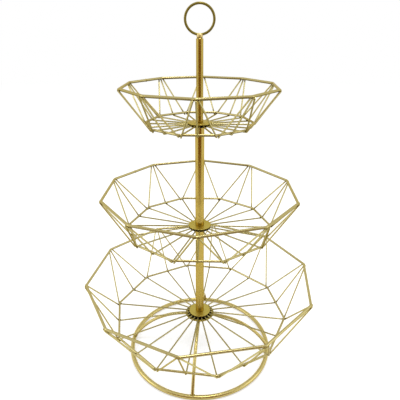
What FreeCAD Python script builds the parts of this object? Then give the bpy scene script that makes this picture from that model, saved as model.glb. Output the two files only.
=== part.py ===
import FreeCAD, Part
import math
import os
import Sketcher
from FreeCAD import Placement, Rotation, Vector

# A free-standing three-tier fruit stand of bent and welded wire, with a carrying ring on top.
# Millimetres, +Z up, origin on the floor at the centre of the base ring, the front towards -Y.
# A "turn" is an angle about +Z, counted from straight ahead (-Y) and growing towards +X.

SIZES = [
    ("base_ring_radius", 103.1, "floor ring, to the middle of its wire"),
    ("base_ring_wire", 6.0, "floor ring's wire diameter"),
    ("leg_wire", 4.5, "leg wire diameter"),
    ("leg_turn", -5.4, "turn of the front leg, in degrees"),
    ("leg_inner_end", 7.5, "radius where each leg starts under the base plate"),
    ("leg_flat_end", 16.0, "radius where each leg starts to curve down"),
    ("base_plate_underside", 57.2, "height of the plate that the legs carry"),
    ("base_plate_diameter", 42.0, "base plate"),
    ("base_plate_thickness", 1.2, "base plate"),
    ("bolt_diameter", 6.0, "base bolt and middle stud, thread diameter"),
    ("bolt_head_flats", 10.0, "base bolt's hexagon, across its flats"),
    ("bolt_head_height", 4.0, "base bolt's hexagon"),
    ("washer_diameter", 12.0, "washer under the bolt's head"),
    ("washer_thickness", 1.0, "washer under the bolt's head"),
    ("upper_stud_diameter", 4.0, "top stud and ring shank, thread diameter"),
    ("thread_engagement", 10.0, "thread held in each tube end"),
    ("hole_clearance", 0.1, "radial clearance of a hub on its stud"),
    ("edge_break", 0.3, "chamfer on turned edges"),
    ("insert_length", 14.0, "threaded plug in each tube end"),
    ("tube_diameter", 11.8, "lower and middle tubes"),
    ("tube_wall", 1.0, "lower and middle tubes"),
    ("lower_tube_length", 138.9, "from the bottom basket to the middle one"),
    ("middle_tube_length", 138.9, "from the middle basket to the top one"),
    ("handle_tube_diameter", 8.7, "tube above the top basket"),
    ("handle_tube_wall", 1.0, "tube above the top basket"),
    ("handle_tube_length", 99.3, "tube above the top basket"),
    ("collar_diameter", 7.6, "turned collar that holds the carrying ring"),
    ("collar_height", 5.5, "collar above the handle tube"),
    ("ring_seat_height", 4.2, "lowest point of the ring's wire centre above the handle tube"),
    ("shank_length", 8.0, "collar's threaded shank"),
    ("handle_ring_radius", 16.9, "carrying ring, to the middle of its wire"),
    ("handle_ring_wire", 3.0, "carrying ring's wire diameter"),
    ("sides", 10, "corners of each rim and floor frame"),
    ("rim_wire", 3.5, "rim wire diameter"),
    ("floor_wire", 3.0, "floor frame wire diameter"),
    ("thin_wire", 2.0, "diameter of the wires between rim, floor frame and hub"),
    ("corner_bend", 5.0, "bend radius at the corners of rims and floor frames"),
    ("weld_depth", 0.5, "how far welded wires sink into each other"),
    ("fan_spacing", 2.5, "distance along the rim from a corner to its outer thin wires"),
    ("wire_end", 0.2, "length of a thin wire above the middle of its weld on the rim"),
    ("short_wire_shift", 3.2, "distance along the floor frame from a corner to the short wire"),
    ("short_wire_tail", 2.6, "length of the short wire below its weld"),
    ("hub_disc_diameter", 31.0, "disc above the spokes"),
    ("hub_disc_thickness", 1.5, "disc above the spokes"),
    ("underplate_diameter", 30.0, "disc below the spokes"),
    ("underplate_thickness", 0.8, "disc below the spokes"),
    ("spoke_inner_end", 9.0, "radius where the spokes end in the hub"),
    ("spoke_knee", 18.0, "radius where the spokes leave the hub's plane"),
    ("knee_bend", 40.0, "bend radius of a spoke at the knee"),
    ("bottom_rim_radius", 160.0, "bottom basket, rim corner"),
    ("bottom_floor_radius", 125.1, "bottom basket, floor frame corner"),
    ("bottom_depth", 63.4, "bottom basket, rim above floor frame"),
    ("bottom_hub_drop", 1.0, "bottom basket, spokes at the hub below the floor frame's centre"),
    ("bottom_turn", -8.2, "bottom basket's turn as it stands, in degrees"),
    ("middle_rim_radius", 129.4, "middle basket, rim corner"),
    ("middle_floor_radius", 97.3, "middle basket, floor frame corner"),
    ("middle_depth", 51.7, "middle basket, rim above floor frame"),
    ("middle_hub_drop", 1.3, "middle basket, spokes at the hub below the floor frame's centre"),
    ("middle_turn", -1.5, "middle basket's turn as it stands, in degrees"),
    ("top_rim_radius", 97.2, "top basket, rim corner"),
    ("top_floor_radius", 67.9, "top basket, floor frame corner"),
    ("top_depth", 45.0, "top basket, rim above floor frame"),
    ("top_hub_drop", 1.9, "top basket, spokes at the hub below the floor frame's centre"),
    ("top_turn", -2.2, "top basket's turn as it stands, in degrees"),
]

doc = FreeCAD.newDocument("tiered_fruit_stand")
sheet = doc.addObject("Spreadsheet::Sheet", "sizes")
for row, (alias, number, note) in enumerate(SIZES, start=1):
    sheet.set("A%d" % row, note)
    sheet.set("B%d" % row, str(number))
    sheet.setAlias("B%d" % row, alias)
doc.recompute()


def value(expression):
    """The number that an expression of the sheet's sizes gives."""
    return float(sheet.evalExpression(expression))


# Heights of the faces where the pieces stand on each other, worked out from the floor up.
HUB_STACK = "(sizes.underplate_thickness + sizes.thin_wire + sizes.hub_disc_thickness)"
BOTTOM_SEAT = "(sizes.base_plate_underside + sizes.base_plate_thickness)"
LOWER_TUBE_FOOT = "(%s + %s)" % (BOTTOM_SEAT, HUB_STACK)
MIDDLE_SEAT = "(%s + sizes.lower_tube_length)" % LOWER_TUBE_FOOT
MIDDLE_TUBE_FOOT = "(%s + %s)" % (MIDDLE_SEAT, HUB_STACK)
TOP_SEAT = "(%s + sizes.middle_tube_length)" % MIDDLE_TUBE_FOOT
HANDLE_TUBE_FOOT = "(%s + %s)" % (TOP_SEAT, HUB_STACK)
HANDLE_TUBE_TOP = "(%s + sizes.handle_tube_length)" % HANDLE_TUBE_FOOT
SPOKES_ABOVE_SEAT = "(sizes.underplate_thickness + sizes.thin_wire / 2)"


def plane(body, role):
    """One of the body's own origin planes."""
    for feature in body.Origin.OriginFeatures:
        if feature.Role == role:
            return feature


def new_sketch(body, name, role):
    """An empty sketch on one of the body's origin planes."""
    sketch = body.newObject("Sketcher::SketchObject", name)
    sketch.AttachmentSupport = [(plane(body, role), "")]
    sketch.MapMode = "FlatFace"
    return sketch


def constrain(sketch, kind, places, expression):
    """A dimension of the sketch, driven by an expression of the sheet's sizes."""
    index = sketch.addConstraint(Sketcher.Constraint(kind, *places, value(expression)))
    sketch.setExpression("Constraints[%d]" % index, expression)


def pin(sketch, geometry, end, across, up):
    """Fixes one end of a line or arc by its distances from the sketch's axes."""
    if across == "0":
        sketch.addConstraint(Sketcher.Constraint("PointOnObject", geometry, end, -2))
    else:
        constrain(sketch, "DistanceX", (-1, 1, geometry, end), across)
    if up == "0":
        sketch.addConstraint(Sketcher.Constraint("PointOnObject", geometry, end, -1))
    else:
        constrain(sketch, "DistanceY", (-1, 1, geometry, end), up)


def add_circle(sketch, across, up, radius):
    """A circle whose middle and radius follow expressions."""
    middle = Vector(value(across), value(up), 0)
    index = sketch.addGeometry(Part.Circle(middle, Vector(0, 0, 1), value(radius)))
    pin(sketch, index, 3, across, up)
    constrain(sketch, "Radius", (index,), radius)


def place(item, level, turn=None):
    """Sets a sub-part's height and its turn about the stand's axis from expressions."""
    item.setExpression("Placement.Base.z", level)
    if turn is not None:
        item.Placement = Placement(Vector(), Rotation(Vector(0, 0, 1), 1.0))
        item.setExpression("Placement.Rotation.Angle", turn)


def turned(label, section, level):
    """A round piece: its half section is a list of (radius, height) expressions from its own foot."""
    body = doc.addObject("PartDesign::Body", label)
    sketch = new_sketch(body, label + "_section", "XZ_Plane")
    corners = [Vector(value(radius), value(height), 0) for radius, height in section]
    count = len(corners)
    for index in range(count):
        sketch.addGeometry(Part.LineSegment(corners[index], corners[(index + 1) % count]))
    for index in range(count):
        sketch.addConstraint(Sketcher.Constraint("Coincident", index, 2, (index + 1) % count, 1))
    for index, (radius, height) in enumerate(section):
        pin(sketch, index, 1, radius, height)
    revolution = body.newObject("PartDesign::Revolution", label + "_round")
    revolution.Profile = sketch
    revolution.ReferenceAxis = (sketch, ["V_Axis"])
    revolution.Angle = 360
    place(body, level)
    return body


def ring_section(bore, outside, length):
    """Half section of a tube, disc or washer, with its outer edges chamfered."""
    edge = "sizes.edge_break"
    return [
        (bore, "0"),
        ("%s - %s" % (outside, edge), "0"),
        (outside, edge),
        (outside, "%s - %s" % (length, edge)),
        ("%s - %s" % (outside, edge), length),
        (bore, length),
    ]


def rod_section(radius, length):
    """Half section of a solid rod with chamfered ends."""
    edge = "sizes.edge_break"
    return [
        ("0", "0"),
        ("%s - %s" % (radius, edge), "0"),
        (radius, edge),
        (radius, "%s - %s" % (length, edge)),
        ("%s - %s" % (radius, edge), length),
        ("0", length),
    ]


def torus(label, radius, wire):
    """A closed round ring of wire."""
    ring = doc.addObject("Part::Torus", label)
    ring.setExpression("Radius1", radius)
    ring.setExpression("Radius2", "%s / 2" % wire)
    return ring


def leg(label, quarter):
    """A leg: flat under the base plate, then one long curve down to the floor ring's wire."""
    body = doc.addObject("PartDesign::Body", label)
    level = "sizes.base_plate_underside - sizes.leg_wire / 2"
    foot = "sizes.base_ring_wire / 2"
    spine = new_sketch(body, label + "_line", "XZ_Plane")
    start = Vector(value("sizes.leg_inner_end"), value(level), 0)
    knee = Vector(value("sizes.leg_flat_end"), value(level), 0)
    end = Vector(value("sizes.base_ring_radius"), value(foot), 0)
    reach = end.x - knee.x
    drop = knee.y - end.y
    radius = (reach ** 2 + drop ** 2) / (2 * drop)
    centre = Vector(knee.x, knee.y - radius, 0)
    circle = Part.Circle(centre, Vector(0, 0, 1), radius)
    end_angle = math.atan2(end.y - centre.y, end.x - centre.x)
    spine.addGeometry(Part.LineSegment(start, knee))
    spine.addGeometry(Part.ArcOfCircle(circle, end_angle, math.pi / 2))
    pin(spine, 0, 1, "sizes.leg_inner_end", level)
    pin(spine, 0, 2, "sizes.leg_flat_end", level)
    spine.addConstraint(Sketcher.Constraint("Tangent", 0, 2, 1, 2))
    pin(spine, 1, 1, "sizes.base_ring_radius", foot)
    section = new_sketch(body, label + "_section", "YZ_Plane")
    section.setExpression("AttachmentOffset.Base.z", "sizes.leg_inner_end")
    add_circle(section, "0", level, "sizes.leg_wire / 2")
    pipe = body.newObject("PartDesign::AdditivePipe", label + "_wire")
    pipe.Profile = section
    pipe.Spine = (spine, ["Edge1", "Edge2"])
    notch = new_sketch(body, label + "_notch", "XZ_Plane")
    add_circle(notch, "sizes.base_ring_radius", foot, "sizes.base_ring_wire / 2")
    groove = body.newObject("PartDesign::Groove", label + "_mouth")
    groove.Profile = notch
    groove.ReferenceAxis = (notch, ["V_Axis"])
    groove.Angle = 360
    front = -90
    place(body, "0", "(sizes.leg_turn + %d) * 1 deg" % (front + quarter * 90))
    return body


def bent_ring(label, radius, wire, level, turn):
    """A closed wire polygon: one corner with half an edge on each side, repeated about the axis."""
    body = doc.addObject("PartDesign::Body", label)
    bend = "sizes.corner_bend"
    step = 360.0 / value("sizes.sides")
    middle = "(%s) * cos(180 deg / sizes.sides)" % radius
    spine = new_sketch(body, label + "_line", "XY_Plane")
    apothem = value(middle)
    half_edge = apothem * math.tan(math.radians(step / 2))
    straight = half_edge - value(bend) * math.tan(math.radians(step / 2))
    last = Rotation(Vector(0, 0, 1), step).multVec(Vector(apothem, 0, 0))
    along = Rotation(Vector(0, 0, 1), step).multVec(Vector(0, 1, 0))
    centre = Vector(apothem - value(bend), straight, 0)
    circle = Part.Circle(centre, Vector(0, 0, 1), value(bend))
    spine.addGeometry(Part.LineSegment(Vector(apothem, 0, 0), Vector(apothem, straight, 0)))
    spine.addGeometry(Part.ArcOfCircle(circle, 0, math.radians(step)))
    spine.addGeometry(Part.LineSegment(last - along * straight, last))
    pin(spine, 0, 1, middle, "0")
    spine.addConstraint(Sketcher.Constraint("Vertical", 0))
    spine.addConstraint(Sketcher.Constraint("Tangent", 0, 2, 1, 1))
    spine.addConstraint(Sketcher.Constraint("Tangent", 1, 2, 2, 1))
    constrain(spine, "Radius", (1,), bend)
    across = "%s * cos(360 deg / sizes.sides)" % middle
    pin(spine, 2, 2, across, "%s * sin(360 deg / sizes.sides)" % middle)
    section = new_sketch(body, label + "_section", "XZ_Plane")
    add_circle(section, middle, "0", "%s / 2" % wire)
    pipe = body.newObject("PartDesign::AdditivePipe", label + "_corner")
    pipe.Profile = section
    pipe.Spine = (spine, ["Edge1", "Edge2", "Edge3"])
    pattern = body.newObject("PartDesign::PolarPattern", label + "_around")
    pattern.Originals = [pipe]
    pattern.Axis = (plane(body, "Z_Axis"), [""])
    pattern.Angle = 360
    pattern.setExpression("Occurrences", "sizes.sides")
    body.Tip = pattern
    place(body, level, turn)
    return body


# A wire that turns by less than this is left straight.
STRAIGHT = math.radians(0.02)


def rounded_path(points, bends):
    """Straight runs through the points, with an arc of the given radius where the line turns."""
    edges = []
    start = points[0]
    for before, corner, after, radius in zip(points, points[1:], points[2:], bends):
        back = (before - corner).normalize()
        onward = (after - corner).normalize()
        half_turn = (math.pi - back.getAngle(onward)) / 2
        if 2 * half_turn < STRAIGHT:
            continue
        inward = (back + onward).normalize()
        centre = corner + inward * (radius / math.cos(half_turn))
        first = corner + back * (radius * math.tan(half_turn))
        last = corner + onward * (radius * math.tan(half_turn))
        edges.append(Part.LineSegment(start, first).toShape())
        edges.append(Part.Arc(first, centre - inward * radius, last).toShape())
        start = last
    edges.append(Part.LineSegment(start, points[-1]).toShape())
    return Part.Wire(edges)


def wire_along(points, bends, diameter):
    """A solid wire of round section along a rounded path."""
    end_circle = Part.makeCircle(diameter / 2, points[0], points[1] - points[0])
    return rounded_path(points, bends).makePipe(Part.Face(Part.Wire(end_circle)))


def around(radius, turn, height):
    """The point at a radius and a turn, counted from -Y towards +X, in degrees."""
    angle = math.radians(turn)
    return Vector(radius * math.sin(angle), -radius * math.cos(angle), height)


def facet_line(rim_point, floor_point, rim_edge, floor_edge):
    """A wire's end on the outside of the rim, and its weld on the outside of the floor frame."""
    rim_gap = (value("sizes.rim_wire") + value("sizes.thin_wire")) / 2 - value("sizes.weld_depth")
    floor_gap = (value("sizes.floor_wire") + value("sizes.thin_wire")) / 2 - value("sizes.weld_depth")
    slope = (rim_point - floor_point).normalize()
    rim_side = slope.cross(rim_edge).normalize()
    floor_side = slope.cross(floor_edge).normalize()
    outward = Vector(rim_point.x, rim_point.y, 0)
    if rim_side.dot(outward) < 0:
        rim_side = rim_side * -1
    if floor_side.dot(outward) < 0:
        floor_side = floor_side * -1
    weld = floor_point + floor_side * floor_gap
    top = rim_point + rim_side * rim_gap
    return top + (top - weld).normalize() * value("sizes.wire_end"), weld


def thin_wires(name):
    """The three kinds of thin wire in one basket, each a list of solids, one for each side."""
    sides = int(value("sizes.sides"))
    step = 360.0 / sides
    wire = value("sizes.thin_wire")
    bend = value("sizes.corner_bend")
    floor_gap = (value("sizes.floor_wire") + wire) / 2 - value("sizes.weld_depth")
    cut_back = bend * (1 / math.cos(math.radians(step / 2)) - 1)
    rim_corner = value("sizes.%s_rim_radius" % name)
    floor_corner = value("sizes.%s_floor_radius" % name)
    depth = value("sizes.%s_depth" % name)
    spacing = value("sizes.fan_spacing")
    shift = value("sizes.short_wire_shift")
    tail = value("sizes.short_wire_tail")
    hub_level = -value("sizes.%s_hub_drop" % name)
    knee = value("sizes.spoke_knee")
    inner_end = value("sizes.spoke_inner_end")
    bends = [floor_gap, value("sizes.knee_bend")]

    def direction(turn):
        """The horizontal direction, towards larger turns, of an edge whose middle is at a turn."""
        return around(1, turn + 90, 0)

    def spoke(top, weld, turn):
        """A wire that comes down the side, bends under the floor frame and runs in to the hub."""
        slope = (weld - top).normalize()
        under = weld + slope * ((-floor_gap - weld.z) / slope.z)
        points = [top, under, around(knee, turn, hub_level), around(inner_end, turn, hub_level)]
        return wire_along(points, bends, wire)

    centre_wires = []
    corner_wires = []
    short_wires = []
    for side in range(sides):
        turn = side * step
        rim_point = around(rim_corner - cut_back, turn, depth)
        floor_middle = around(floor_corner * math.cos(math.radians(step / 2)), turn, 0)
        edge = direction(turn)
        top, weld = facet_line(rim_point, floor_middle, edge, edge)
        centre_wires.append(spoke(top, weld, turn))

        later_edge = direction(turn + step / 2)
        rim_point = around(rim_corner, turn, depth) + later_edge * spacing
        floor_point = around(floor_corner - cut_back, turn + step / 2, 0)
        top, weld = facet_line(rim_point, floor_point, later_edge, edge)
        corner_wires.append(spoke(top, weld, turn + step / 2))

        earlier_edge = direction(turn - step / 2)
        rim_point = around(rim_corner, turn, depth) - earlier_edge * spacing
        floor_point = around(floor_corner, turn - step / 2, 0) + edge * shift
        top, weld = facet_line(rim_point, floor_point, earlier_edge, edge)
        end = weld + (weld - top).normalize() * tail
        short_wires.append(wire_along([top, end], [], wire))
    return centre_wires, corner_wires, short_wires


def wire_group(label, solids, level, turn):
    """Equal wires that are welded in separately, as one sub-part of separate solids."""
    group = doc.addObject("Part::Feature", label)
    group.Shape = Part.makeCompound(solids)
    place(group, level, turn)
    return group


def basket(name, seat, stud):
    """Rim, floor frame, thin wires and hub of one basket, standing on its seat."""
    turn = "sizes.%s_turn * 1 deg" % name
    frame_turn = "(sizes.%s_turn + 180 / sizes.sides) * 1 deg" % name
    floor = "%s + %s + sizes.%s_hub_drop" % (seat, SPOKES_ABOVE_SEAT, name)
    rim = "%s + sizes.%s_depth" % (floor, name)
    rim_radius = "sizes.%s_rim_radius" % name
    frame_radius = "sizes.%s_floor_radius" % name
    bore = "%s / 2 + sizes.hole_clearance" % stud
    disc = ring_section(bore, "sizes.hub_disc_diameter / 2", "sizes.hub_disc_thickness")
    disc_foot = "%s + sizes.underplate_thickness + sizes.thin_wire" % seat
    underplate = ring_section(bore, "sizes.underplate_diameter / 2", "sizes.underplate_thickness")
    centre_wires, corner_wires, short_wires = thin_wires(name)
    return [
        bent_ring(name + "_rim", rim_radius, "sizes.rim_wire", rim, turn),
        bent_ring(name + "_floor_frame", frame_radius, "sizes.floor_wire", floor, frame_turn),
        wire_group(name + "_centre_wires", centre_wires, floor, turn),
        wire_group(name + "_corner_wires", corner_wires, floor, turn),
        wire_group(name + "_short_wires", short_wires, floor, turn),
        turned(name + "_hub_disc", disc, disc_foot),
        turned(name + "_hub_underplate", underplate, seat),
    ]


def base():
    """Floor ring, legs, plate, and the bolt that holds the bottom basket and the lower tube."""
    ring = torus("base_ring", "sizes.base_ring_radius", "sizes.base_ring_wire")
    place(ring, "sizes.base_ring_wire / 2")
    leg_names = ["front_leg", "right_leg", "back_leg", "left_leg"]
    legs = [leg(label, quarter) for quarter, label in enumerate(leg_names)]
    bore = "sizes.bolt_diameter / 2"
    plate_section = ring_section(bore, "sizes.base_plate_diameter / 2", "sizes.base_plate_thickness")
    plate = turned("base_plate", plate_section, "sizes.base_plate_underside")
    washer_foot = "(sizes.base_plate_underside - sizes.washer_thickness)"
    washer_section = ring_section(bore, "sizes.washer_diameter / 2", "sizes.washer_thickness")
    washer = turned("bolt_washer", washer_section, washer_foot)
    head = doc.addObject("Part::Prism", "bolt_head")
    head.Polygon = 6
    head.setExpression("Circumradius", "sizes.bolt_head_flats / 2 / cos(30 deg)")
    head.setExpression("Height", "sizes.bolt_head_height")
    head.setExpression("Placement.Base.z", "%s - sizes.bolt_head_height" % washer_foot)
    shank = doc.addObject("Part::Cylinder", "bolt_shank")
    shank.setExpression("Radius", "sizes.bolt_diameter / 2")
    shank.setExpression("Height", "%s + sizes.thread_engagement - %s" % (LOWER_TUBE_FOOT, washer_foot))
    shank.setExpression("Placement.Base.z", washer_foot)
    bolt = doc.addObject("Part::Fuse", "base_bolt")
    bolt.Base = head
    bolt.Tool = shank
    return [ring] + legs + [plate, washer, bolt]


def tube(name, foot, length, diameter, wall, foot_thread, head_thread):
    """A tube with a threaded plug pressed into each end."""
    inside = "(%s / 2 - %s)" % (diameter, wall)
    plug = "sizes.insert_length"
    return [
        turned(name, ring_section(inside, "%s / 2" % diameter, length), foot),
        turned(name + "_foot_insert", ring_section("%s / 2" % foot_thread, inside, plug), foot),
        turned(name + "_head_insert", ring_section("%s / 2" % head_thread, inside, plug),
               "%s + %s - %s" % (foot, length, plug)),
    ]


def stud(label, diameter, seat):
    """A threaded rod through a hub, screwed into the tube below it and the tube above it."""
    length = "(%s + 2 * sizes.thread_engagement)" % HUB_STACK
    return turned(label, rod_section("%s / 2" % diameter, length), "%s - sizes.thread_engagement" % seat)


def carrying_ring():
    """The ring, the collar whose notched top holds it, and the collar's shank in the tube."""
    ring = torus("carrying_ring", "sizes.handle_ring_radius", "sizes.handle_ring_wire")
    ring.Placement = Placement(Vector(), Rotation(Vector(1, 0, 0), 90))
    place(ring, "%s + sizes.ring_seat_height + sizes.handle_ring_radius" % HANDLE_TUBE_TOP)
    shank = "sizes.upper_stud_diameter / 2"
    top = "(sizes.shank_length + sizes.collar_height)"
    section = [
        ("0", "0"),
        (shank, "0"),
        (shank, "sizes.shank_length"),
        ("sizes.collar_diameter / 2", "sizes.shank_length"),
        ("sizes.collar_diameter / 2", "%s - sizes.edge_break" % top),
        ("sizes.collar_diameter / 2 - sizes.edge_break", top),
        ("0", top),
    ]
    blank = turned("collar_blank", section, "%s - sizes.shank_length" % HANDLE_TUBE_TOP)
    collar = doc.addObject("Part::Cut", "ring_collar")
    collar.Base = blank
    collar.Tool = ring
    return [ring, collar]


def stand():
    """Everything that the baskets turn on: base, tubes, plugs, studs and carrying ring."""
    bolt = "sizes.bolt_diameter"
    upper = "sizes.upper_stud_diameter"
    pieces = base()
    thick = "sizes.tube_diameter"
    thick_wall = "sizes.tube_wall"
    slim = "sizes.handle_tube_diameter"
    slim_wall = "sizes.handle_tube_wall"
    lower = "sizes.lower_tube_length"
    middle = "sizes.middle_tube_length"
    handle = "sizes.handle_tube_length"
    pieces += tube("lower_tube", LOWER_TUBE_FOOT, lower, thick, thick_wall, bolt, bolt)
    pieces.append(stud("middle_stud", bolt, MIDDLE_SEAT))
    pieces += tube("middle_tube", MIDDLE_TUBE_FOOT, middle, thick, thick_wall, bolt, upper)
    pieces.append(stud("upper_stud", upper, TOP_SEAT))
    pieces += tube("handle_tube", HANDLE_TUBE_FOOT, handle, slim, slim_wall, upper, upper)
    return pieces + carrying_ring()


def write(pieces):
    """Checks that every object is sound, then writes each sub-part to a file of its own name."""
    doc.recompute()
    for item in doc.Objects:
        if "Invalid" in item.State or "Error" in item.State:
            raise RuntimeError("%s failed: %s" % (item.Label, item.State))
    for piece in pieces:
        if piece.Shape.isNull() or not piece.Shape.isValid() or not piece.Shape.Solids:
            raise RuntimeError("%s has no sound solid" % piece.Label)
    os.makedirs("parts", exist_ok=True)
    for piece in pieces:
        piece.Shape.exportStep("parts/%s.step" % piece.Label)
        print("%-26s %3d solids %10.1f mm3" % (piece.Label, len(piece.Shape.Solids), piece.Shape.Volume))


write(
    stand()
    + basket("bottom", BOTTOM_SEAT, "sizes.bolt_diameter")
    + basket("middle", MIDDLE_SEAT, "sizes.bolt_diameter")
    + basket("top", TOP_SEAT, "sizes.upper_stud_diameter")
)
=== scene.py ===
import math
import random

import bmesh
import bpy
from mathutils import Matrix, Vector


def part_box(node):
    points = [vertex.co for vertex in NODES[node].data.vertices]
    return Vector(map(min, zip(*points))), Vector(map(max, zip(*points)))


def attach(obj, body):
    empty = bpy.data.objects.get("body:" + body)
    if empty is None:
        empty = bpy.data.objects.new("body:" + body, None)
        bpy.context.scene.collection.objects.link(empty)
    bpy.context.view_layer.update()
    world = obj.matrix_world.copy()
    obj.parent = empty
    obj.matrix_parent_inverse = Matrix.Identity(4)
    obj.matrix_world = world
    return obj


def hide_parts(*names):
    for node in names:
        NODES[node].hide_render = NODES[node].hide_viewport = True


# A free-standing three-tier fruit stand of bent and welded wire in satin gold lacquer.
# Metres, +Z up, the front towards -Y. A turn is an angle about +Z in degrees, from -Y towards +X.

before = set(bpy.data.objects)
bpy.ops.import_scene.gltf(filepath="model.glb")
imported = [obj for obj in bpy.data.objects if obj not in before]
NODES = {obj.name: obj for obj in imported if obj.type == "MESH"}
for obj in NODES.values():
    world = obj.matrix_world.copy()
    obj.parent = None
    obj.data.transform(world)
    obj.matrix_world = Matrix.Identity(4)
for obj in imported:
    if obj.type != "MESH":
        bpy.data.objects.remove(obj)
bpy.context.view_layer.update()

# Wires, by diameter.
RIM_WIRE = 0.0035
FLOOR_WIRE = 0.003
LEG_WIRE = 0.0045
BASE_RING_WIRE = 0.006

# The baskets' ten sides, the bend at their corners, and how far welded wires sink into each other.
SIDES = 10
STEP = 360 / SIDES
CORNER_BEND = 0.005
WELD_DEPTH = 0.0005

# From a rim corner to its outer thin wires, and from a floor frame corner to the short wire.
FAN_SPACING = 0.0025
SHORT_WIRE_SHIFT = 0.0032

# The foot: its ring to the middle of the wire, its legs, and how far out from the pole they run level.
BASE_RING_RADIUS = 0.1031
LEGS = ("front_leg", "right_leg", "back_leg", "left_leg")
LEG_TURN = -5.4
LEG_FLAT_END = 0.016

# Fasteners, by radius, and a hub's clearance on its stud. The base plate's bore fits its bolt.
BOLT_RADIUS = 0.003
RING_SHANK_RADIUS = 0.002
STUD_CLEARANCE = 0.0001

# Each basket: its rim and floor frame corners from the pole, its turn as it stands, and its stud's radius.
BASKETS = {
    "bottom": {"rim": 0.160, "floor": 0.1251, "turn": -8.2, "stud": 0.003},
    "middle": {"rim": 0.1294, "floor": 0.0973, "turn": -1.5, "stud": 0.003},
    "top": {"rim": 0.0972, "floor": 0.0679, "turn": -2.2, "stud": 0.002},
}

UP = Vector((0, 0, 1))


def middle_height(node):
    """The height halfway up a CAD node."""
    low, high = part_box(node)
    return (low.z + high.z) / 2


def around(radius, turn, height):
    """The point at a radius, a turn and a height."""
    angle = math.radians(turn)
    return Vector((radius * math.sin(angle), -radius * math.cos(angle), height))


def outward(turn):
    """The level direction away from the pole at a turn."""
    return around(1, turn, 0)


def sideways(turn):
    """The level direction square to outward, anticlockwise seen from above."""
    return around(1, turn + 90, 0)


# ---------------------------------------------------------------- camera, light and floor

WHITE = (1, 1, 1, 1)
STAND_MIDDLE = (0, 0, 0.25)

# The floor lies this far under the base ring, so that no two faces meet.
FLOOR_GAP = 0.0002


def photo_camera():
    """The camera that took the photograph, fitted to the corners of rims and floor frames."""
    data = bpy.data.cameras.new("photo_camera")
    data.sensor_width = 36
    data.lens = 36.45
    data.shift_x = 0.0007
    data.shift_y = -0.05
    camera = bpy.data.objects.new("photo_camera", data)
    camera.location = (0, -0.5017, 0.4612)
    camera.rotation_euler = (math.radians(69.255), 0, 0)
    bpy.context.scene.collection.objects.link(camera)
    bpy.context.scene.camera = camera
    bpy.context.scene.view_settings.view_transform = "Standard"


def new_material(name):
    """A new material and its shader."""
    material = bpy.data.materials.new(name)
    material.use_nodes = True
    return material, material.node_tree.nodes["Principled BSDF"]


def seen_ray(tree):
    """1 for rays that show the background: the camera's, reflections and what shows through glass."""
    path = tree.nodes.new("ShaderNodeLightPath")
    first = math_node(tree, "MAXIMUM", path.outputs["Is Camera Ray"], path.outputs["Is Glossy Ray"])
    return math_node(tree, "MAXIMUM", first, path.outputs["Is Transmission Ray"])


def white_background(tree, strength):
    """A plain white background shader."""
    node = tree.nodes.new("ShaderNodeBackground")
    node.inputs["Strength"].default_value = strength
    node.inputs["Color"].default_value = WHITE
    return node.outputs[0]


def white_world(ambient):
    """A white background, and a plain even light from all round."""
    world = bpy.data.worlds.new("white_studio")
    bpy.context.scene.world = world
    world.use_nodes = True
    tree = world.node_tree
    tree.nodes.clear()
    mix = tree.nodes.new("ShaderNodeMixShader")
    output = tree.nodes.new("ShaderNodeOutputWorld")
    tree.links.new(seen_ray(tree), mix.inputs["Fac"])
    tree.links.new(white_background(tree, ambient), mix.inputs[1])
    tree.links.new(white_background(tree, strength=1), mix.inputs[2])
    tree.links.new(mix.outputs[0], output.inputs["Surface"])


def softbox(name, place, size, power):
    """A square area lamp at a place, aimed at the middle of the stand."""
    data = bpy.data.lights.new(name, "AREA")
    data.shape = "SQUARE"
    data.size = size
    data.energy = power
    lamp = bpy.data.objects.new(name, data)
    lamp.location = place
    aim = Vector(STAND_MIDDLE) - Vector(place)
    lamp.rotation_euler = aim.to_track_quat("-Z", "Y").to_euler()
    bpy.context.scene.collection.objects.link(lamp)


def white_floor(reach, glow_strength):
    """The pale floor that the stand rests on. It shows as white, and keeps the stand's shadow."""
    nothing_selected()
    bpy.ops.mesh.primitive_plane_add(size=2 * reach, location=(0, 0, -FLOOR_GAP))
    floor = bpy.context.object
    floor.name = "floor"
    material, shader = new_material("floor_white")
    tree = material.node_tree
    shader.inputs["Base Color"].default_value = (0.9, 0.9, 0.9, 1)
    shader.inputs["Roughness"].default_value = 0.9
    shader.inputs["Specular IOR Level"].default_value = 0
    shader.inputs["Emission Color"].default_value = WHITE
    glow = math_node(tree, "MULTIPLY", seen_ray(tree), glow_strength)
    tree.links.new(glow, shader.inputs["Emission Strength"])
    floor.data.materials.append(material)


def dark_flag(distance, width, height, colour):
    """The studio's dark front: a brown cloth that only reflections show, in place of the white.

    It glows at its own colour, so that no lamp changes it, and it casts no shadow."""
    nothing_selected()
    place = (0, -distance, height / 2)
    bpy.ops.mesh.primitive_plane_add(size=1, location=place, rotation=(math.radians(90), 0, 0))
    flag = bpy.context.object
    flag.name = "dark_flag"
    flag.scale = (width, height, 1)
    material, shader = new_material("brown_cloth")
    shader.inputs["Base Color"].default_value = (0, 0, 0, 1)
    shader.inputs["Specular IOR Level"].default_value = 0
    shader.inputs["Emission Color"].default_value = (*colour, 1)
    shader.inputs["Emission Strength"].default_value = 1
    flag.data.materials.append(material)
    flag.visible_camera = False
    flag.visible_diffuse = False
    flag.visible_shadow = False


# ---------------------------------------------------------------- finishes

# Sprayed lacquer: the size of its cloudy tone and of its orange peel, and how much the clouds change
# the roughness. Dust specks are where a noise, somewhat coarser than the peel, rises over a cut.
CLOUD_SIZE = 0.03
PEEL_SIZE = 0.0006
CLOUD_ROUGHNESS = 0.12
SPECK_SCALE = 0.7
SPECK_CUT = 0.68
SPECK_CONTRAST = 12

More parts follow.
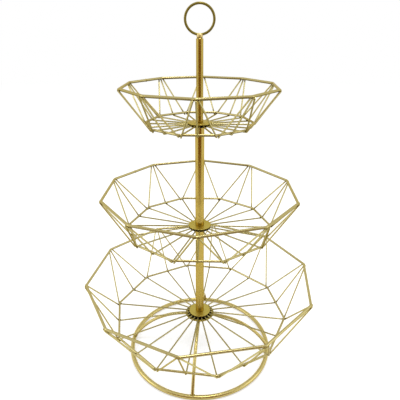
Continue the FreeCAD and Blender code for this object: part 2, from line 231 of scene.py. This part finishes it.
# What the lacquer turns to where it is seen edge on.
GRAZING_GOLD = (0.74, 0.64, 0.36)

# Welding browned the thin wires this far above and below each crossing, a little all round; the more on the
# side towards the pole is painted shade.
SCORCH_REACH = 0.006
SCORCH_ALL_ROUND = 0.2
SCORCH_AND_SHADE_INSIDE = 0.7
SCORCHED_AND_SHADED = (0.07, 0.05, 0.01)

# The narrow gap in each hub is painted dark as its shade: out to where on the spokes and on the plates, how
# soft its edge is, and how far it reaches under the underplate and over the underside of the disc.
SPOKE_GAP_RADIUS = 0.0155
PLATE_GAP_RADIUS = 0.0183
GAP_SOFT_EDGE = 0.0008
GAP_BELOW = 0.0002
GAP_ABOVE = 0.0001
SPOKE_GAP_PAINTED_SHADE = (0.05, 0.03, 0.004)
PLATE_GAP_PAINTED_SHADE = (0.012, 0.006, 0.001)

GROUPS = {}


def new_group(name, inputs, outputs):
    """An empty shader group with float inputs and the given outputs."""
    group = bpy.data.node_groups.new(name, "ShaderNodeTree")
    for label, number in inputs:
        socket = group.interface.new_socket(label, in_out="INPUT", socket_type="NodeSocketFloat")
        socket.default_value = number
    for label, kind in outputs:
        group.interface.new_socket(label, in_out="OUTPUT", socket_type=kind)
    return group, group.nodes.new("NodeGroupInput"), group.nodes.new("NodeGroupOutput")


def feed(tree, source, socket):
    """Sets a socket to a plain number, or links it to another socket."""
    if isinstance(source, (int, float)):
        socket.default_value = source
    else:
        tree.links.new(source, socket)


def math_node(tree, operation, first, second=None, clamp=False):
    """A math node fed by sockets or plain numbers."""
    node = tree.nodes.new("ShaderNodeMath")
    node.operation = operation
    node.use_clamp = clamp
    feed(tree, first, node.inputs[0])
    if second is not None:
        feed(tree, second, node.inputs[1])
    return node.outputs[0]


def vector_node(tree, operation, first, second=None):
    """A vector math node fed by sockets."""
    node = tree.nodes.new("ShaderNodeVectorMath")
    node.operation = operation
    tree.links.new(first, node.inputs[0])
    if second is not None:
        tree.links.new(second, node.inputs[1])
    return node


def ramp(tree, number, start, end):
    """A smooth step from 0 at start to 1 at end."""
    node = tree.nodes.new("ShaderNodeMapRange")
    node.interpolation_type = "SMOOTHSTEP"
    tree.links.new(number, node.inputs["Value"])
    feed(tree, start, node.inputs["From Min"])
    feed(tree, end, node.inputs["From Max"])
    return node.outputs["Result"]


def surface(tree, kind):
    """Where a point of the surface lies (Object), or which way it faces (Normal)."""
    return tree.nodes.new("ShaderNodeTexCoord").outputs[kind]


def axes(tree, kind):
    """The X, Y and Z of where the surface lies or which way it faces."""
    node = tree.nodes.new("ShaderNodeSeparateXYZ")
    tree.links.new(surface(tree, kind), node.inputs[0])
    return node.outputs


def from_pole(tree, place):
    """The level vector from the pole's axis to a place, given as its X, Y and Z."""
    node = tree.nodes.new("ShaderNodeCombineXYZ")
    tree.links.new(place["X"], node.inputs["X"])
    tree.links.new(place["Y"], node.inputs["Y"])
    return node.outputs[0]


def noise(tree, scale, detail):
    """Noise in the object's own coordinates."""
    texture = tree.nodes.new("ShaderNodeTexNoise")
    texture.inputs["Detail"].default_value = detail
    tree.links.new(surface(tree, "Object"), texture.inputs["Vector"])
    tree.links.new(scale, texture.inputs["Scale"])
    return texture.outputs["Fac"]


def lacquer_group():
    """Sprayed lacquer: slow cloudy tone, a few dust specks, and a fine orange peel as a normal."""
    group, inputs, outputs = new_group(
        "sprayed_lacquer",
        [("Cloud Size", CLOUD_SIZE), ("Peel Size", PEEL_SIZE), ("Peel Depth", 0.1)],
        [("Cloud", "NodeSocketFloat"), ("Speck", "NodeSocketFloat"), ("Normal", "NodeSocketVector")],
    )
    cloud_scale = math_node(group, "DIVIDE", 1, inputs.outputs["Cloud Size"])
    group.links.new(noise(group, cloud_scale, detail=3), outputs.inputs["Cloud"])
    peel_scale = math_node(group, "DIVIDE", 1, inputs.outputs["Peel Size"])
    peel = noise(group, peel_scale, detail=2)
    dust = noise(group, math_node(group, "MULTIPLY", peel_scale, SPECK_SCALE), detail=0)
    over_cut = math_node(group, "SUBTRACT", dust, SPECK_CUT)
    speck = math_node(group, "MULTIPLY", over_cut, SPECK_CONTRAST, clamp=True)
    group.links.new(speck, outputs.inputs["Speck"])
    bump = group.nodes.new("ShaderNodeBump")
    bump.inputs["Distance"].default_value = 0.0001
    group.links.new(inputs.outputs["Peel Depth"], bump.inputs["Strength"])
    group.links.new(peel, bump.inputs["Height"])
    group.links.new(bump.outputs["Normal"], outputs.inputs["Normal"])
    return group


def painted_underside_shade_group():
    """1 on faces that look down and 0 on those that look up: where the lacquer's colour takes a painted
    shade.
    """
    group, inputs, outputs = new_group(
        "underside", [("Start", 0.3), ("Full", -0.5)], [("Mask", "NodeSocketFloat")]
    )
    facing = axes(group, "Normal")
    mask = ramp(group, facing["Z"], inputs.outputs["Start"], inputs.outputs["Full"])
    group.links.new(mask, outputs.inputs["Mask"])
    return group


def weld_band_group():
    """Close to the height of one rim or floor frame, where welding browned the lacquer.

    Strongest at that height on faces that look at the pole, where painted shade is added to the scorch."""
    group, inputs, outputs = new_group(
        "weld_band", [("Height", 0.1), ("Reach", SCORCH_REACH)], [("Mask", "NodeSocketFloat")]
    )
    place = axes(group, "Object")
    above = math_node(group, "SUBTRACT", place["Z"], inputs.outputs["Height"])
    share = math_node(group, "DIVIDE", math_node(group, "ABSOLUTE", above), inputs.outputs["Reach"])
    near = math_node(group, "SUBTRACT", 1, share, clamp=True)
    away = vector_node(group, "NORMALIZE", from_pole(group, place)).outputs["Vector"]
    facing = vector_node(group, "DOT_PRODUCT", away, surface(group, "Normal")).outputs["Value"]
    inside = ramp(group, facing, start=0.3, end=-0.4)
    strength = math_node(group, "MULTIPLY", inside, SCORCH_AND_SHADE_INSIDE)
    strength = math_node(group, "ADD", strength, SCORCH_ALL_ROUND)
    group.links.new(math_node(group, "MULTIPLY", near, strength), outputs.inputs["Mask"])
    return group


def hub_gap_shade_group():
    """1 inside a radius of the pole and between two heights: the narrow gap in a hub, where its shade is
    painted dark.
    """
    group, inputs, outputs = new_group(
        "hub_gap_shade", [("Radius", 0.018), ("Low", 0.05), ("High", 0.06)], [("Mask", "NodeSocketFloat")]
    )
    place = axes(group, "Object")
    radius = vector_node(group, "LENGTH", from_pole(group, place)).outputs["Value"]
    full = math_node(group, "SUBTRACT", inputs.outputs["Radius"], GAP_SOFT_EDGE)
    inside = ramp(group, radius, inputs.outputs["Radius"], full)
    above = math_node(group, "GREATER_THAN", place["Z"], inputs.outputs["Low"])
    below = math_node(group, "LESS_THAN", place["Z"], inputs.outputs["High"])
    between = math_node(group, "MULTIPLY", above, below)
    group.links.new(math_node(group, "MULTIPLY", inside, between), outputs.inputs["Mask"])
    return group


def use_group(tree, name, **numbers):
    """Places a shared group in a material with this material's own values."""
    node = tree.nodes.new("ShaderNodeGroup")
    node.node_tree = GROUPS[name]
    for label, number in numbers.items():
        node.inputs[label.replace("_", " ").title()].default_value = number
    return node


def mixed(tree, mask, first, second):
    """A colour between two, each a socket or a plain colour."""
    node = tree.nodes.new("ShaderNodeMix")
    node.data_type = "RGBA"
    tree.links.new(mask, node.inputs["Factor"])
    for socket, source in ((node.inputs["A"], first), (node.inputs["B"], second)):
        if isinstance(source, tuple):
            socket.default_value = (*source, 1)
        else:
            tree.links.new(source, socket)
    return node.outputs["Result"]


def hub_gap_shade_masks(tree, radius):
    """One mask for each hub's painted shade, from under its underplate to the underside of its disc."""
    masks = []
    for name in BASKETS:
        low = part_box(name + "_hub_underplate")[0].z - GAP_BELOW
        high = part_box(name + "_hub_disc")[0].z + GAP_ABOVE
        masks.append(use_group(tree, "hub_gap_shade", radius=radius, low=low, high=high).outputs["Mask"])
    return masks


def weld_band_masks(tree):
    """Masks on the thin wires close to each rim and floor frame."""
    masks = []
    for name in BASKETS:
        for ring in ("rim", "floor_frame"):
            height = middle_height("%s_%s" % (name, ring))
            band = use_group(tree, "weld_band", height=height, reach=SCORCH_REACH)
            masks.append(band.outputs["Mask"])
    return masks


def lacquer(name, light, dark, shade, roughness, under=(0.3, -0.5), peel_depth=0.04, dust=0.12, coat=0.2):
    """Satin gold lacquer: a light and a dark gold in clouds, and a painted shade on the faces that look down.

    The shade starts and is full where the surface's normal has the two heights of under."""
    material, shader = new_material(name)
    tree = material.node_tree
    spray = use_group(
        tree, "sprayed_lacquer", cloud_size=CLOUD_SIZE, peel_size=PEEL_SIZE, peel_depth=peel_depth
    )
    colour = mixed(tree, spray.outputs["Cloud"], light, dark)
    # The shade colour on faces that look down is painted shade.
    below = use_group(tree, "underside", start=under[0], full=under[1])
    colour = mixed(tree, below.outputs["Mask"], colour, shade)
    tree.links.new(colour, shader.inputs["Base Color"])
    rough = math_node(tree, "MULTIPLY", spray.outputs["Cloud"], CLOUD_ROUGHNESS)
    rough = math_node(tree, "ADD", rough, roughness - CLOUD_ROUGHNESS / 2)
    rough = math_node(tree, "ADD", rough, math_node(tree, "MULTIPLY", spray.outputs["Speck"], dust))
    tree.links.new(rough, shader.inputs["Roughness"])
    tree.links.new(spray.outputs["Normal"], shader.inputs["Normal"])
    shader.inputs["Metallic"].default_value = 1
    shader.inputs["Specular Tint"].default_value = (*GRAZING_GOLD, 1)
    shader.inputs["Coat Weight"].default_value = coat
    shader.inputs["Coat Roughness"].default_value = 0.15
    return material


def stain(material, masks, colour):
    """Adds a stain to a lacquer's colour wherever one of the masks is set."""
    tree = material.node_tree
    base_colour = tree.nodes["Principled BSDF"].inputs["Base Color"]
    for mask in masks:
        unstained = base_colour.links[0].from_socket
        tree.links.new(mixed(tree, mask, unstained, colour), base_colour)


def gold_wires():
    """The drawn wires: rims and floor frames, the foot, the carrying ring and the thin wires."""
    wire = lacquer(
        "gold_wire", light=(0.51, 0.435, 0.195), dark=(0.44, 0.37, 0.15), shade=(0.10, 0.078, 0.016),
        roughness=0.22, under=(0.2, -0.6), coat=0.15,
    )
    foot = lacquer(
        "gold_foot", light=(0.60, 0.495, 0.19), dark=(0.53, 0.43, 0.15), shade=(0.26, 0.18, 0.03),
        roughness=0.24,
    )
    # The carrying ring's gold is painted darker than the wire's, as a painted shade.
    eye = lacquer(
        "gold_eye_painted_shade", light=(0.27, 0.215, 0.045), dark=(0.22, 0.17, 0.03), shade=(0.14, 0.105, 0.015),
        roughness=0.36,
    )
    thin = lacquer(
        "gold_thin_wire", light=(0.62, 0.55, 0.26), dark=(0.51, 0.44, 0.185), shade=(0.15, 0.115, 0.022),
        roughness=0.26, under=(-0.1, -0.9), coat=0,
    )
    # Near each weld the thin wires darken: scorch all round, and painted shade on the faces that look at the
    # pole.
    stain(thin, weld_band_masks(thin.node_tree), SCORCHED_AND_SHADED)
    # The spokes are painted dark in each hub's gap, as its shade.
    stain(thin, hub_gap_shade_masks(thin.node_tree, SPOKE_GAP_RADIUS), SPOKE_GAP_PAINTED_SHADE)
    return {"wire": wire, "foot": foot, "eye": eye, "thin": thin}


def gold_tubes_and_plates():
    """The smooth tubes of the pole, the pressed plates, and the turned collar."""
    tube = lacquer(
        "gold_tube", light=(0.63, 0.465, 0.12), dark=(0.56, 0.405, 0.095), shade=(0.20, 0.14, 0.02),
        roughness=0.23, peel_depth=0.004, dust=0.015, coat=0,
    )
    plate = lacquer(
        "gold_plate", light=(0.53, 0.425, 0.09), dark=(0.45, 0.355, 0.07), shade=(0.16, 0.11, 0.015),
        roughness=0.36,
    )
    # The collar's gold is painted lighter than the rest of the lacquer, as a painted highlight.
    collar = lacquer(
        "gold_collar_painted_highlight", light=(0.80, 0.66, 0.32), dark=(0.70, 0.56, 0.24), shade=(0.45, 0.33, 0.10),
        roughness=0.50,
    )
    # The plates are painted dark in each hub's gap, as its shade.
    stain(plate, hub_gap_shade_masks(plate.node_tree, PLATE_GAP_RADIUS), PLATE_GAP_PAINTED_SHADE)
    return {"tube": tube, "plate": plate, "collar": collar}


def welds_and_fasteners():
    """Lacquered weld metal, dark weld metal that is part scorch and part painted shade, and the zinc-plated
    fasteners.
    """
    weld = lacquer(
        "gold_weld", light=(0.46, 0.37, 0.11), dark=(0.32, 0.25, 0.06), shade=(0.03, 0.02, 0.004),
        roughness=0.34,
    )
    burnt_and_shaded = lacquer(
        "burnt_and_shaded_weld", light=(0.12, 0.09, 0.02), dark=(0.07, 0.05, 0.01), shade=(0.03, 0.02, 0.004),
        roughness=0.42,
    )
    steel = lacquer(
        "zinc_steel", light=(0.62, 0.62, 0.60), dark=(0.52, 0.52, 0.51), shade=(0.40, 0.40, 0.40),
        roughness=0.35,
    )
    return {"weld": weld, "burnt_and_shaded": burnt_and_shaded, "steel": steel}


def finishes():
    """Every finish on the stand, by the name that the maker would use."""
    GROUPS["sprayed_lacquer"] = lacquer_group()
    GROUPS["underside"] = painted_underside_shade_group()
    GROUPS["weld_band"] = weld_band_group()
    GROUPS["hub_gap_shade"] = hub_gap_shade_group()
    return {**gold_wires(), **gold_tubes_and_plates(), **welds_and_fasteners()}


def dress_nodes():
    """Gives each CAD node that stays its finish."""
    kinds = {
        "gold_wire": "wire", "gold_thin_wire": "thin", "gold_tube": "tube",
        "gold_plate": "plate", "zinc_steel": "steel",
    }
    for node in NODES.values():
        slot = node.data.materials[0].name
        node.data.materials[0] = FINISH[kinds[slot]]
    for name in ("base_ring", *LEGS):
        NODES[name].data.materials[0] = FINISH["foot"]
    NODES["carrying_ring"].data.materials[0] = FINISH["eye"]


# ---------------------------------------------------------------- modelling by hand

# Edges sharper than this stay sharp.
SMOOTH_ANGLE = 35

# An edge is level where its ends differ less than this, and a face is flat where its normal is this upright.
LEVEL_WITHIN = 1e-6
UPRIGHT = 0.9

# How uneven a bead's skin is, as a share of its height, and a ring bead's, as a share of its thickness.
BEAD_UNEVENNESS = 0.12
RING_UNEVENNESS = 0.2

# No two welds are alike: how far one is turned, and how much one is grown. The draws are seeded.
WELD_TWIST = 12
WELD_GROWTH = (0.85, 1.15)
CHANCE = random.Random(11)


def nothing_selected():
    """Operators act on all that is selected, so each new piece starts from nothing."""
    bpy.ops.object.select_all(action="DESELECT")


def take(piece):
    """Selects a piece beside what is selected, and makes it the one that operators work on."""
    piece.select_set(True)
    bpy.context.view_layer.objects.active = piece


def edit(name):
    """Names the primitive that was just added, and opens it for editing with nothing picked."""
    piece = bpy.context.object
    piece.name = name
    piece.data.name = name
    bpy.ops.object.mode_set(mode="EDIT")
    bpy.ops.mesh.select_all(action="DESELECT")
    return piece


def pick_faces(piece, test):
    """Selects the faces whose middle and normal pass a test."""
    bpy.ops.mesh.select_mode(type="FACE")
    bpy.ops.mesh.select_all(action="DESELECT")
    mesh = bmesh.from_edit_mesh(piece.data)
    for face in mesh.faces:
        face.select_set(test(face.calc_center_median(), face.normal))
    bmesh.update_edit_mesh(piece.data)


def pick_edges(piece, test):
    """Selects the edges whose two ends pass a test."""
    bpy.ops.mesh.select_mode(type="EDGE")
    bpy.ops.mesh.select_all(action="DESELECT")
    mesh = bmesh.from_edit_mesh(piece.data)
    for line in mesh.edges:
        line.select_set(test(line.verts[0].co, line.verts[1].co))
    bmesh.update_edit_mesh(piece.data)


def finished(piece, body, finish, stands_for=()):
    """Puts the piece's place into its mesh, and says what it rides on and what it is made of."""
    if piece.mode == "EDIT":
        bpy.ops.object.mode_set(mode="OBJECT")
    nothing_selected()
    take(piece)
    bpy.ops.object.transform_apply(location=True, rotation=True, scale=True)
    bpy.ops.object.shade_smooth_by_angle(angle=math.radians(SMOOTH_ANGLE))
    piece.data.materials.clear()
    piece.data.materials.append(FINISH[finish])
    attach(piece, body)
    if stands_for:
        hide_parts(*stands_for)


def level(first, last):
    """Whether an edge between two points lies level."""
    return abs(first.z - last.z) < LEVEL_WITHIN


def flat_radius(point):
    """Distance from the pole's axis."""
    return math.hypot(point.x, point.y)


def pressed_disc(node, body, bore, edge_radius):
    """A plate pressed from sheet: a bored disc whose outer edges are rolled round."""
    low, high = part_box(node)
    radius = high.x
    middle = (0, 0, (low.z + high.z) / 2)
    nothing_selected()
    bpy.ops.mesh.primitive_cylinder_add(vertices=96, radius=radius, depth=high.z - low.z, location=middle)
    disc = edit(node + "_pressed")
    pick_faces(disc, lambda centre, normal: abs(normal.z) > UPRIGHT)
    bpy.ops.mesh.inset(thickness=radius - bore)
    bpy.ops.mesh.bridge_edge_loops()
    halfway = (bore + radius) / 2
    pick_edges(disc, lambda a, b: flat_radius(a) > halfway and flat_radius(b) > halfway and level(a, b))
    bpy.ops.mesh.bevel(offset=edge_radius, segments=4, profile=0.5)
    finished(disc, body, "plate", [node])


def shank(name, radius, foot, top, tip, chamfer):
    """A round shank between two heights, its upper (1) or lower (-1) tip chamfered."""
    middle = (0, 0, (foot + top) / 2)
    nothing_selected()
    bpy.ops.mesh.primitive_cylinder_add(vertices=32, radius=radius, depth=top - foot, location=middle)
    rod = edit(name)
    pick_edges(rod, lambda a, b: level(a, b) and a.z * tip > 0)
    bpy.ops.mesh.bevel(offset=chamfer, segments=2)
    bpy.ops.object.mode_set(mode="OBJECT")


def bead(name, half_sizes, seed):
    """A nugget of weld metal, flattened and a little uneven, by its half sizes across, along and up."""
    nothing_selected()
    bpy.ops.mesh.primitive_ico_sphere_add(subdivisions=2, radius=1)
    nugget = edit(name)
    bpy.ops.mesh.select_all(action="SELECT")
    bpy.ops.transform.resize(value=half_sizes)
    rough_by = half_sizes[2] * BEAD_UNEVENNESS
    bpy.ops.transform.vertex_random(offset=rough_by, uniform=0, normal=0, seed=seed)
    bpy.ops.object.mode_set(mode="OBJECT")
    return nugget


def ring_bead(name, wire, thickness, seed):
    """A bead of weld metal all round a wire that runs along the piece's own Y axis."""
    nothing_selected()
    bpy.ops.mesh.primitive_torus_add(
        major_segments=24, minor_segments=8, major_radius=wire / 2, minor_radius=thickness,
        rotation=(math.radians(90), 0, 0),
    )
    seam = edit(name)
    bpy.ops.mesh.select_all(action="SELECT")
    bpy.ops.transform.vertex_random(offset=thickness * RING_UNEVENNESS, uniform=0, normal=0, seed=seed)
    bpy.ops.object.mode_set(mode="OBJECT")
    bpy.ops.object.transform_apply(location=True, rotation=True, scale=True)
    return seam


def set_at(place, across, along):
    """The frame of a small piece: its X across, its Y along, and its Z square to both."""
    x_axis = across.normalized()
    z_axis = x_axis.cross(along).normalized()
    y_axis = z_axis.cross(x_axis)
    turn = Matrix((x_axis, y_axis, z_axis)).transposed().to_4x4()
    return Matrix.Translation(place) @ turn


def uneven(place):
    """The same frame, turned and grown a little."""
    spin = Matrix.Rotation(math.radians(CHANCE.uniform(-WELD_TWIST, WELD_TWIST)), 4, "Z")
    grow = [CHANCE.uniform(*WELD_GROWTH) for axis in range(3)]
    return place @ spin @ Matrix.Diagonal((*grow, 1))


def strewn(name, parts):
    """Copies of small pieces, each a pattern and a frame, joined into one piece."""
    copies = []
    for pattern, place in parts:
        copy = bpy.data.objects.new(name, pattern.data.copy())
        copy.data.transform(place)
        bpy.context.scene.collection.objects.link(copy)
        copies.append(copy)
    nothing_selected()
    for copy in copies:
        copy.select_set(True)
    take(copies[0])
    bpy.ops.object.join()
    for pattern in {pattern for pattern, place in parts}:
        bpy.data.objects.remove(pattern)
    copies[0].name = name
    return copies[0]


# ---------------------------------------------------------------- welds of the baskets

# Half sizes of the beads on a rim, on a floor frame and under it: along the frame, along the thin wire
# and outwards.
RIM_BEAD = (0.0017, 0.0015, 0.0009)
FLOOR_BEAD = (0.0016, 0.0014, 0.0009)
UNDER_BEAD = (0.0014, 0.0013, 0.0010)

# A bead under the floor frame sits this share of the wire inwards and down from the wire's middle.
UNDER_BEAD_SET_IN = 0.4

# A frame's two ends are butted this many sides on from its first corner, in a seam this share of the
# wire thick.
SEAM_SIDES_ON = 6.5
SEAM_SHARE = 0.1


def outward_side(slope, edge, point):
    """The side of a wire crossing that faces away from the pole."""
    side = slope.cross(edge).normalized()
    if side.dot(Vector((point.x, point.y, 0))) < 0:
        side.negate()
    return side


def crossings(name):
    """Where the thin wires of a basket cross its rim and its floor frame.

    Each is a point on the frame's centre line, the frame's direction there, the thin wire's
    direction, and whether the wire goes on under the frame to the hub."""
    basket = BASKETS[name]
    rim_height = middle_height(name + "_rim")
    floor_height = middle_height(name + "_floor_frame")
    half_step = STEP / 2
    half_side = math.cos(math.radians(half_step))
    cut_back = CORNER_BEND * (1 / half_side - 1)
    at_rim = []
    at_floor = []
    for side in range(SIDES):
        turn = basket["turn"] + side * STEP
        edge = sideways(turn)
        later = sideways(turn + half_step)
        earlier = sideways(turn - half_step)
        corner = around(basket["rim"], turn, rim_height)
        rounded_corner = around(basket["rim"] - cut_back, turn, rim_height)
        floor_middle = around(basket["floor"] * half_side, turn, floor_height)
        floor_corner = around(basket["floor"] - cut_back, turn + half_step, floor_height)
        short_foot = around(basket["floor"], turn - half_step, floor_height) + edge * SHORT_WIRE_SHIFT
        wires = [
            (rounded_corner, floor_middle, edge, True),
            (corner + later * FAN_SPACING, floor_corner, later, True),
            (corner - earlier * FAN_SPACING, short_foot, earlier, False),
        ]
        for top, bottom, rim_edge, runs_in in wires:
            slope = (top - bottom).normalized()
            at_rim.append((top, rim_edge, slope, runs_in))
            at_floor.append((bottom, edge, slope, runs_in))
    return at_rim, at_floor


def crossing_beads(patterns, places, wire):
    """A bead on the outside of each crossing of a frame wire with a thin wire."""
    parts = []
    for number, (point, edge, slope, runs_in) in enumerate(places):
        out = outward_side(slope, edge, point)
        place = point + out * (wire - WELD_DEPTH) / 2
        parts.append((patterns[number % len(patterns)], uneven(set_at(place, edge, slope))))
    return parts


def frame_seam(node, wire, first_corner_turn, corner_radius):
    """The seam at the middle of one of the far sides, where the frame's two ends were butted."""
    turn = first_corner_turn + SEAM_SIDES_ON * STEP
    radius = corner_radius * math.cos(math.radians(STEP / 2))
    place = around(radius, turn, middle_height(node))
    seam = ring_bead("frame_seam", wire, wire * SEAM_SHARE, seed=2)
    return seam, set_at(place, outward(turn), sideways(turn))


def under_beads(places):
    """A dark bead under the floor frame wherever a thin wire runs on to the hub: scorched weld metal with
    painted shade.
    """
    knob = bead("knob", UNDER_BEAD, seed=5)
    parts = []
    for point, edge, slope, runs_in in places:
        if runs_in:
            inward = Vector((-point.x, -point.y, 0)).normalized()
            place = point + (inward - UP) * FLOOR_WIRE * UNDER_BEAD_SET_IN
            parts.append((knob, uneven(set_at(place, edge, inward))))
    return parts


def basket_welds(name):
    """The weld beads of one basket: outside its rim, outside its floor frame, and under that."""
    basket = BASKETS[name]
    body = name + "_basket"
    at_rim, at_floor = crossings(name)
    rim_beads = [bead("rim_bead", RIM_BEAD, seed) for seed in (1, 2)]
    rim_parts = crossing_beads(rim_beads, at_rim, RIM_WIRE)
    rim_parts.append(frame_seam(name + "_rim", RIM_WIRE, basket["turn"], basket["rim"]))
    finished(strewn(name + "_rim_welds", rim_parts), body, "weld")

    floor_turn = basket["turn"] + STEP / 2
    floor_beads = [bead("floor_bead", FLOOR_BEAD, seed) for seed in (3, 4)]
    floor_parts = crossing_beads(floor_beads, at_floor, FLOOR_WIRE)
    floor_parts.append(frame_seam(name + "_floor_frame", FLOOR_WIRE, floor_turn, basket["floor"]))
    finished(strewn(name + "_floor_welds", floor_parts), body, "weld")

    finished(strewn(name + "_under_welds", under_beads(at_floor)), body, "burnt_and_shaded")


# ---------------------------------------------------------------- the stand's own small pieces

# The bead round a leg where it meets the base ring: its thickness, and how far it stands off the ring.
LEG_BEAD = 0.0007
LEG_BEAD_OFF_RING = 0.0002

# The fillets along a leg under the base plate: half sizes across, along the leg and up, and their place
# out from the pole, beside the leg and under the plate.
FILLET = (0.0011, 0.0035, 0.0008)
FILLET_OUT = 0.0145
FILLET_BESIDE = 0.0016
FILLET_UNDER = 0.0006

# The base ring's seam: its thickness, its turn on from the front leg, and its lift off the floor.
RING_SEAM = 0.0004
RING_SEAM_TURN = 205
RING_SEAM_LIFT = 0.0005

# The solder beside the carrying ring, by its half sizes, and how far it stands off the ring.
SOLDER = (0.0024, 0.0006, 0.0005)
SOLDER_OFF_RING = 0.0001

# The bolt's hexagon: the turned face's radius as a share of the width across flats, and its slope.
HEX_SIDES = 6
TURNED_FACE = 0.49
TURNED_SLOPE = 1.7


def leg_welds():
    """Where each leg meets the base ring and the base plate, and where the base ring's ends were butted."""
    plate_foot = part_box("base_plate")[0].z
    leg_height = plate_foot - LEG_WIRE / 2
    ring_level = BASE_RING_WIRE / 2
    reach = BASE_RING_RADIUS - LEG_FLAT_END
    drop = leg_height - ring_level
    bend = (reach ** 2 + drop ** 2) / (2 * drop)
    outward_share = (bend - drop) / bend
    downward_share = reach / bend
    collar = ring_bead("leg_collar", LEG_WIRE, LEG_BEAD, seed=7)
    fillet = bead("leg_fillet", FILLET, seed=8)
    parts = []
    for number in range(len(LEGS)):
        turn = LEG_TURN + number * 360 / len(LEGS)
        out = outward(turn)
        across = sideways(turn)
        slope = out * outward_share - UP * downward_share
        place = around(BASE_RING_RADIUS, turn, ring_level) - slope * (ring_level + LEG_BEAD_OFF_RING)
        parts.append((collar, uneven(set_at(place, across, slope))))
        for side in (-1, 1):
            place = out * FILLET_OUT + across * side * FILLET_BESIDE + UP * (plate_foot - FILLET_UNDER)
            parts.append((fillet, set_at(place, across, out)))
    seam = ring_bead("base_ring_seam", BASE_RING_WIRE, RING_SEAM, seed=9)
    seam_turn = LEG_TURN + RING_SEAM_TURN
    place = around(BASE_RING_RADIUS, seam_turn, ring_level)
    ground_off = Matrix.Translation(UP * RING_SEAM_LIFT)
    parts.append((seam, ground_off @ set_at(place, outward(seam_turn), sideways(seam_turn))))
    finished(strewn("leg_welds", parts), "stand", "weld")


def collar_solder():
    """The solder along both sides of the carrying ring, where it lies in its collar."""
    collar_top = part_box("ring_collar")[1].z
    ring_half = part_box("carrying_ring")[1].y
    side_bead = bead("solder", SOLDER, seed=10)
    parts = []
    for side in (-1, 1):
        place = Vector((0, side * (ring_half + SOLDER_OFF_RING), collar_top))
        parts.append((side_bead, set_at(place, Vector((1, 0, 0)), Vector((0, 1, 0)))))
    finished(strewn("collar_solder", parts), "stand", "collar")


def rounded_collar():
    """The collar that holds the carrying ring: a turned bead with round shoulders, and its shank."""
    low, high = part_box("ring_collar")
    tube_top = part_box("handle_tube")[1].z
    bead_height = high.z - tube_top
    middle = (0, 0, tube_top + bead_height / 2)
    nothing_selected()
    bpy.ops.mesh.primitive_cylinder_add(vertices=64, radius=high.x, depth=bead_height, location=middle)
    collar = edit("rounded_collar")
    pick_edges(collar, level)
    bpy.ops.mesh.bevel(offset=0.0017, segments=6, profile=0.5)
    bpy.ops.object.mode_set(mode="OBJECT")
    shank("collar_shank", RING_SHANK_RADIUS, foot=low.z, top=tube_top, tip=-1, chamfer=0.0003)
    take(collar)
    bpy.ops.object.join()
    finished(collar, "stand", "collar", ["ring_collar"])


def hex_bolt():
    """The bolt under the base plate: a hexagon head with its corners turned off, and its shank."""
    low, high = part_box("base_bolt")
    head_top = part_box("bolt_washer")[0].z
    head_height = head_top - low.z
    flats = min(high.x, high.y) * 2
    corner = flats / 2 / math.cos(math.radians(180 / HEX_SIDES))
    middle = (0, 0, (low.z + head_top) / 2)
    nothing_selected()
    bpy.ops.mesh.primitive_cylinder_add(vertices=HEX_SIDES, radius=corner, depth=head_height, location=middle)
    head = bpy.context.object
    head.name = "hex_bolt"
    nothing_selected()
    face = flats * TURNED_FACE
    bpy.ops.mesh.primitive_cone_add(
        vertices=64, radius1=face, radius2=face + head_height * TURNED_SLOPE,
        depth=head_height, location=middle,
    )
    turning = bpy.context.object
    cut = head.modifiers.new("turned_corners", "BOOLEAN")
    cut.operation = "INTERSECT"
    cut.object = turning
    nothing_selected()
    take(head)
    bpy.ops.object.modifier_apply(modifier="turned_corners")
    bpy.data.objects.remove(turning)
    shank("bolt_shank", BOLT_RADIUS, foot=head_top, top=high.z, tip=1, chamfer=0.0004)
    take(head)
    bpy.ops.object.join()
    finished(head, "stand", "steel", ["base_bolt"])


# ---------------------------------------------------------------- the scene, in order

photo_camera()
white_world(ambient=0.55)
softbox("top_softbox", place=(0.1, -0.1, 1.5), size=0.4, power=5)
softbox("left_softbox", place=(-1.3, -0.2, 0.8), size=0.7, power=3)
softbox("right_softbox", place=(1.3, -0.2, 0.8), size=0.7, power=2)
white_floor(reach=3, glow_strength=0.5)
dark_flag(distance=0.62, width=1.15, height=0.52, colour=(0.29, 0.13, 0.002))
FINISH = finishes()
dress_nodes()

pressed_disc("base_plate", "stand", BOLT_RADIUS, edge_radius=0.0004)
for basket_name in BASKETS:
    bore = BASKETS[basket_name]["stud"] + STUD_CLEARANCE
    pressed_disc(basket_name + "_hub_disc", basket_name + "_basket", bore, edge_radius=0.0005)
    basket_welds(basket_name)
leg_welds()
rounded_collar()
collar_solder()
hex_bolt()
